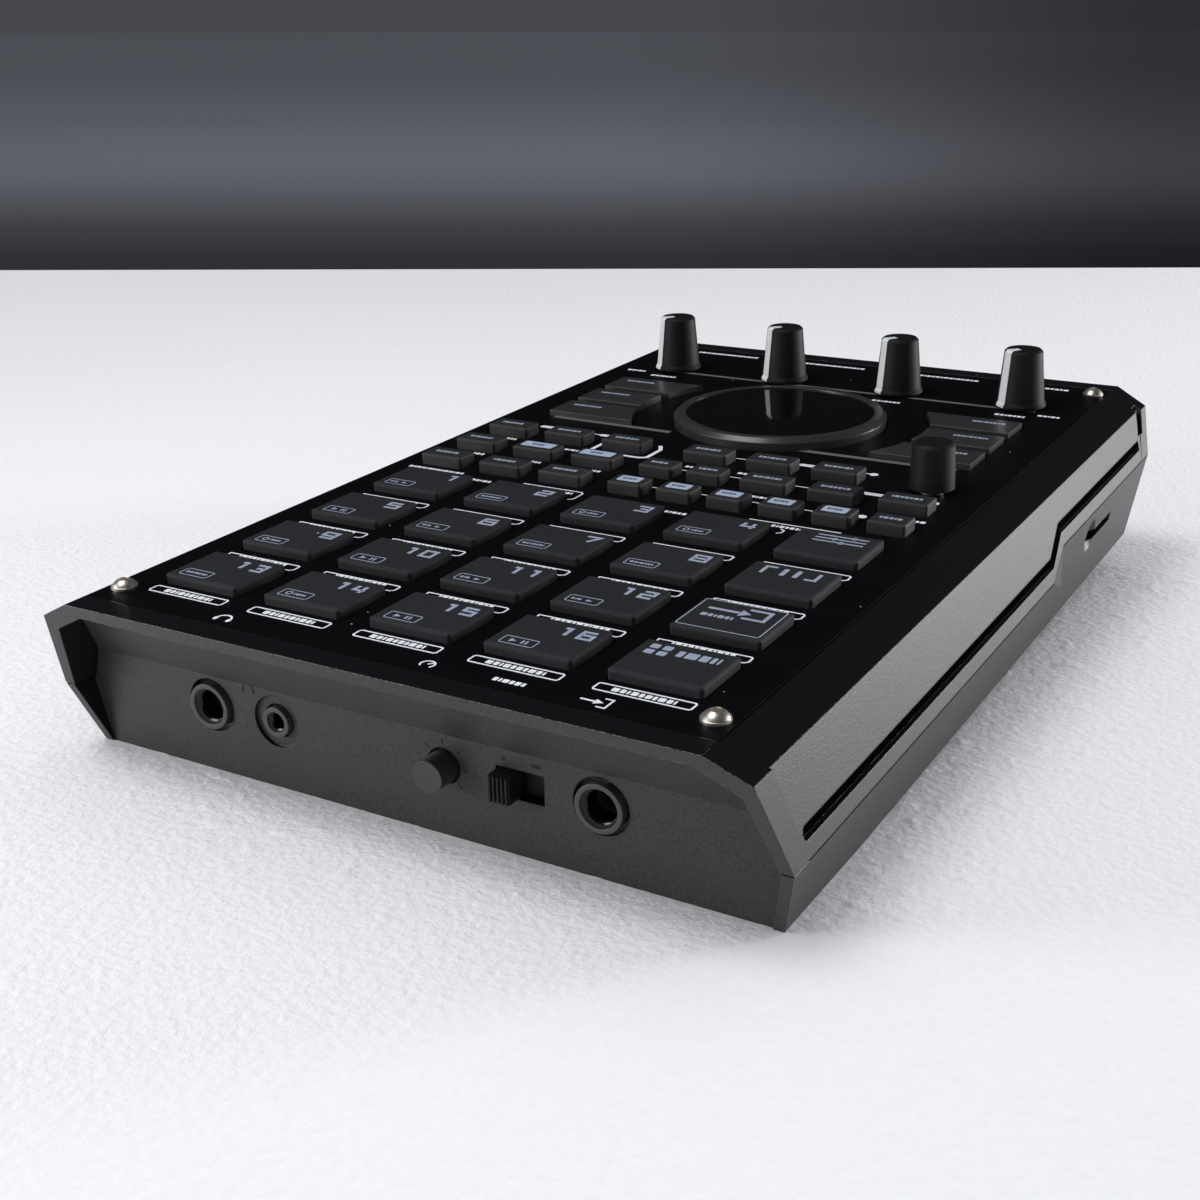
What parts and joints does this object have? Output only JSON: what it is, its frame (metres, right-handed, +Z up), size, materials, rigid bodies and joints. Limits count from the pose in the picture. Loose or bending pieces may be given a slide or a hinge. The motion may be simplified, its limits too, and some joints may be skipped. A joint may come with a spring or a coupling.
{
  "type": "audio sampler",
  "caption": "Desktop audio sampler: sloped hood-shaped case with a black top plate, rubber playing pads, small keys, round display, turning knobs and jacks front and rear.",
  "frame": {"origin": "bottom centre of the bounding box, on the desk under the middle of the case", "axes": "+Z up, -Y towards the player and the front jacks, +X to the player's right"},
  "size_m": [0.177, 0.2758, 0.0706],
  "materials": {
    "case_plastic": "fine-textured moulded plastic, satin",
    "plate_paint": "satin black paint on sheet metal",
    "nickel": "nickel plate",
    "steel": "tinned steel",
    "foot_rubber": "soft matt rubber",
    "smoked_plastic": "smoked gloss plastic",
    "lens": "smoked clear lens",
    "module_plastic": "dark moulded plastic",
    "board": "solder mask on a circuit board",
    "connector_plastic": "black moulded plastic",
    "key_rubber": "hard matt rubber",
    "light_key_plastic": "pale satin plastic",
    "knob_plastic": "soft-touch plastic",
    "pad_rubber": "matt silicone rubber"
  },
  "bodies": {
    "case": {"lower_case": "case_plastic", "upper_case": "case_plastic", "top_plate": "plate_paint", "plate_screws": "nickel", "case_screws": "steel", "rubber_feet": "foot_rubber", "display_ring": "smoked_plastic", "display_window": "lens", "display_module": "module_plastic", "control_board": "board", "main_board": "board", "front_board": "board", "knob_pots": "steel", "encoder_body": "steel", "front_jacks": "connector_plastic", "mini_jack": "connector_plastic", "gain_pot": "module_plastic", "slide_switch": "module_plastic", "line_jacks": "connector_plastic", "data_jacks": "connector_plastic", "usb_socket": "steel", "dc_inlet": "connector_plastic", "power_switch": "module_plastic", "card_socket": "module_plastic", "battery_contacts": "steel"},
    "knob_1": {"knob_1": "knob_plastic"},
    "knob_2": {"knob_2": "knob_plastic"},
    "knob_3": {"knob_3": "knob_plastic"},
    "knob_4": {"knob_4": "knob_plastic"},
    "value_stem": {"value_stem": "steel"},
    "value_knob": {"value_knob": "knob_plastic"},
    "gain_knob": {"gain_knob": "knob_plastic"},
    "input_slider": {"input_slider": "knob_plastic"},
    "battery_cover": {"battery_cover": "case_plastic"},
    "power_slider": {"power_slider": "knob_plastic"},
    "left_keys": {"left_keys": "key_rubber"},
    "step_keys": {"step_keys": "light_key_plastic"},
    "right_keys": {"right_keys": "key_rubber"},
    "effect_keys_left": {"effect_keys_left": "smoked_plastic"},
    "effect_keys_right": {"effect_keys_right": "smoked_plastic"},
    "pad_1": {"pad_1": "pad_rubber"},
    "pad_2": {"pad_2": "pad_rubber"},
    "pad_3": {"pad_3": "pad_rubber"},
    "pad_4": {"pad_4": "pad_rubber"},
    "pad_5": {"pad_5": "pad_rubber"},
    "pad_6": {"pad_6": "pad_rubber"},
    "pad_7": {"pad_7": "pad_rubber"},
    "pad_8": {"pad_8": "pad_rubber"},
    "pad_9": {"pad_9": "pad_rubber"},
    "pad_10": {"pad_10": "pad_rubber"},
    "pad_11": {"pad_11": "pad_rubber"},
    "pad_12": {"pad_12": "pad_rubber"},
    "pad_13": {"pad_13": "pad_rubber"},
    "pad_14": {"pad_14": "pad_rubber"},
    "pad_15": {"pad_15": "pad_rubber"},
    "pad_16": {"pad_16": "pad_rubber"},
    "side_pad_1": {"side_pad_1": "pad_rubber"},
    "side_pad_2": {"side_pad_2": "pad_rubber"},
    "side_pad_3": {"side_pad_3": "pad_rubber"},
    "side_pad_4": {"side_pad_4": "pad_rubber"}
  },
  "joints": [
    {"name": "knob_1_turn", "type": "hinge", "parent": "case", "child": "knob_1", "pos_m": [-0.0558, 0.10243, 0.05343], "axis": [0, -0.0419, 0.9991], "range_deg": [-300, 0]},
    {"name": "knob_2_turn", "type": "hinge", "parent": "case", "child": "knob_2", "pos_m": [-0.0186, 0.10243, 0.05343], "axis": [0, -0.0419, 0.9991], "range_deg": [-300, 0]},
    {"name": "knob_3_turn", "type": "hinge", "parent": "case", "child": "knob_3", "pos_m": [0.0186, 0.10243, 0.05343], "axis": [0, -0.0419, 0.9991], "range_deg": [-300, 0]},
    {"name": "knob_4_turn", "type": "hinge", "parent": "case", "child": "knob_4", "pos_m": [0.0558, 0.10243, 0.05343], "axis": [0, -0.0419, 0.9991], "range_deg": [-300, 0]},
    {"name": "value_press", "type": "slide", "parent": "case", "child": "value_stem", "axis": [0, 0.0419, -0.9991], "range_m": [0, 0.0006], "stiffness_N_per_m": 3000},
    {"name": "value_turn", "type": "hinge", "parent": "value_stem", "child": "value_knob", "pos_m": [0.0603, 0.01501, 0.04976], "axis": [0, -0.0419, 0.9991], "continuous": true},
    {"name": "gain_turn", "type": "hinge", "parent": "case", "child": "gain_knob", "pos_m": [0.0105, -0.12231, 0.01998], "axis": [0, -0.9991, -0.0419], "range_deg": [-300, 0]},
    {"name": "input_slide", "type": "slide", "parent": "case", "child": "input_slider", "axis": [1, 0, 0], "range_m": [0, 0.0054]},
    {"name": "battery_cover_slide", "type": "slide", "parent": "case", "child": "battery_cover", "axis": [0, -1, 0], "range_m": [0, 0.008]},
    {"name": "power_slide", "type": "slide", "parent": "case", "child": "power_slider", "axis": [1, 0, 0], "range_m": [0, 0.0046]},
    {"name": "left_keys_press", "type": "slide", "parent": "case", "child": "left_keys", "axis": [0, 0.0419, -0.9991], "range_m": [0, 0.0008], "stiffness_N_per_m": 2500},
    {"name": "step_keys_press", "type": "slide", "parent": "case", "child": "step_keys", "axis": [0, 0.0419, -0.9991], "range_m": [0, 0.0008], "stiffness_N_per_m": 2500},
    {"name": "right_keys_press", "type": "slide", "parent": "case", "child": "right_keys", "axis": [0, 0.0419, -0.9991], "range_m": [0, 0.0008], "stiffness_N_per_m": 2500},
    {"name": "effect_keys_left_press", "type": "slide", "parent": "case", "child": "effect_keys_left", "axis": [0, 0.0419, -0.9991], "range_m": [0, 0.0008], "stiffness_N_per_m": 2500},
    {"name": "effect_keys_right_press", "type": "slide", "parent": "case", "child": "effect_keys_right", "axis": [0, 0.0419, -0.9991], "range_m": [0, 0.0008], "stiffness_N_per_m": 2500},
    {"name": "pad_1_press", "type": "slide", "parent": "case", "child": "pad_1", "axis": [0, 0.0419, -0.9991], "range_m": [0, 0.0012], "stiffness_N_per_m": 1500},
    {"name": "pad_2_press", "type": "slide", "parent": "case", "child": "pad_2", "axis": [0, 0.0419, -0.9991], "range_m": [0, 0.0012], "stiffness_N_per_m": 1500},
    {"name": "pad_3_press", "type": "slide", "parent": "case", "child": "pad_3", "axis": [0, 0.0419, -0.9991], "range_m": [0, 0.0012], "stiffness_N_per_m": 1500},
    {"name": "pad_4_press", "type": "slide", "parent": "case", "child": "pad_4", "axis": [0, 0.0419, -0.9991], "range_m": [0, 0.0012], "stiffness_N_per_m": 1500},
    {"name": "pad_5_press", "type": "slide", "parent": "case", "child": "pad_5", "axis": [0, 0.0419, -0.9991], "range_m": [0, 0.0012], "stiffness_N_per_m": 1500},
    {"name": "pad_6_press", "type": "slide", "parent": "case", "child": "pad_6", "axis": [0, 0.0419, -0.9991], "range_m": [0, 0.0012], "stiffness_N_per_m": 1500},
    {"name": "pad_7_press", "type": "slide", "parent": "case", "child": "pad_7", "axis": [0, 0.0419, -0.9991], "range_m": [0, 0.0012], "stiffness_N_per_m": 1500},
    {"name": "pad_8_press", "type": "slide", "parent": "case", "child": "pad_8", "axis": [0, 0.0419, -0.9991], "range_m": [0, 0.0012], "stiffness_N_per_m": 1500},
    {"name": "pad_9_press", "type": "slide", "parent": "case", "child": "pad_9", "axis": [0, 0.0419, -0.9991], "range_m": [0, 0.0012], "stiffness_N_per_m": 1500},
    {"name": "pad_10_press", "type": "slide", "parent": "case", "child": "pad_10", "axis": [0, 0.0419, -0.9991], "range_m": [0, 0.0012], "stiffness_N_per_m": 1500},
    {"name": "pad_11_press", "type": "slide", "parent": "case", "child": "pad_11", "axis": [0, 0.0419, -0.9991], "range_m": [0, 0.0012], "stiffness_N_per_m": 1500},
    {"name": "pad_12_press", "type": "slide", "parent": "case", "child": "pad_12", "axis": [0, 0.0419, -0.9991], "range_m": [0, 0.0012], "stiffness_N_per_m": 1500},
    {"name": "pad_13_press", "type": "slide", "parent": "case", "child": "pad_13", "axis": [0, 0.0419, -0.9991], "range_m": [0, 0.0012], "stiffness_N_per_m": 1500},
    {"name": "pad_14_press", "type": "slide", "parent": "case", "child": "pad_14", "axis": [0, 0.0419, -0.9991], "range_m": [0, 0.0012], "stiffness_N_per_m": 1500},
    {"name": "pad_15_press", "type": "slide", "parent": "case", "child": "pad_15", "axis": [0, 0.0419, -0.9991], "range_m": [0, 0.0012], "stiffness_N_per_m": 1500},
    {"name": "pad_16_press", "type": "slide", "parent": "case", "child": "pad_16", "axis": [0, 0.0419, -0.9991], "range_m": [0, 0.0012], "stiffness_N_per_m": 1500},
    {"name": "side_pad_1_press", "type": "slide", "parent": "case", "child": "side_pad_1", "axis": [0, 0.0419, -0.9991], "range_m": [0, 0.0012], "stiffness_N_per_m": 1500},
    {"name": "side_pad_2_press", "type": "slide", "parent": "case", "child": "side_pad_2", "axis": [0, 0.0419, -0.9991], "range_m": [0, 0.0012], "stiffness_N_per_m": 1500},
    {"name": "side_pad_3_press", "type": "slide", "parent": "case", "child": "side_pad_3", "axis": [0, 0.0419, -0.9991], "range_m": [0, 0.0012], "stiffness_N_per_m": 1500},
    {"name": "side_pad_4_press", "type": "slide", "parent": "case", "child": "side_pad_4", "axis": [0, 0.0419, -0.9991], "range_m": [0, 0.0012], "stiffness_N_per_m": 1500}
  ]
}
